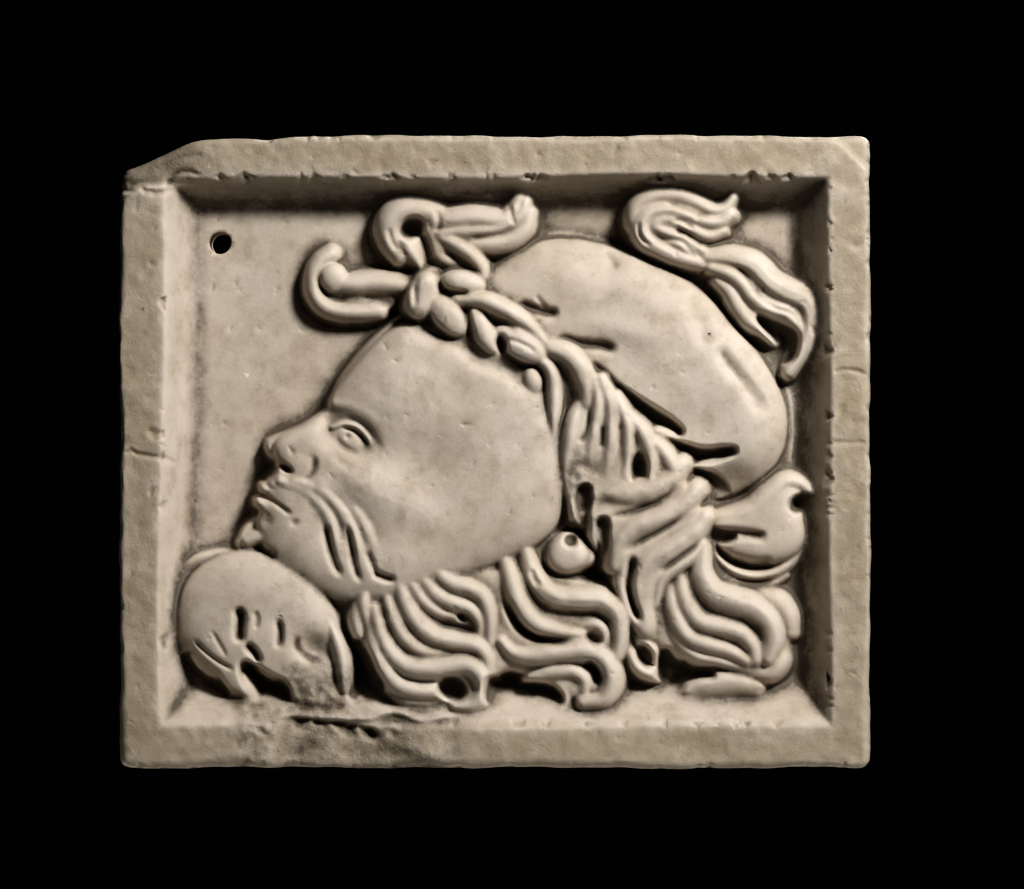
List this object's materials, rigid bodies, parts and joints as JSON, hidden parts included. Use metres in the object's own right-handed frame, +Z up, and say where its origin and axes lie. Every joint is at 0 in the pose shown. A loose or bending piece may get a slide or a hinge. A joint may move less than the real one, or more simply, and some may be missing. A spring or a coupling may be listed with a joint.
{
  "type": "marble relief plaque",
  "caption": "Framed marble relief plaque for a wall: a bearded head in profile with a plaited fillet and long locks, carved in a sunk field and pierced by a hanging hole.",
  "frame": {"origin": "middle of the flat back face, where the plaque meets its wall", "axes": "+X along the width, +Z up, and the carved front faces -Y"},
  "size_m": [0.355, 0.0614, 0.2995],
  "materials": {
    "marble": "aged marble, smooth on the raised carving, rough and grey-brown in the hollows and breaks"
  },
  "bodies": {
    "root": {"relief_plaque": "marble"}
  },
  "joints": []
}
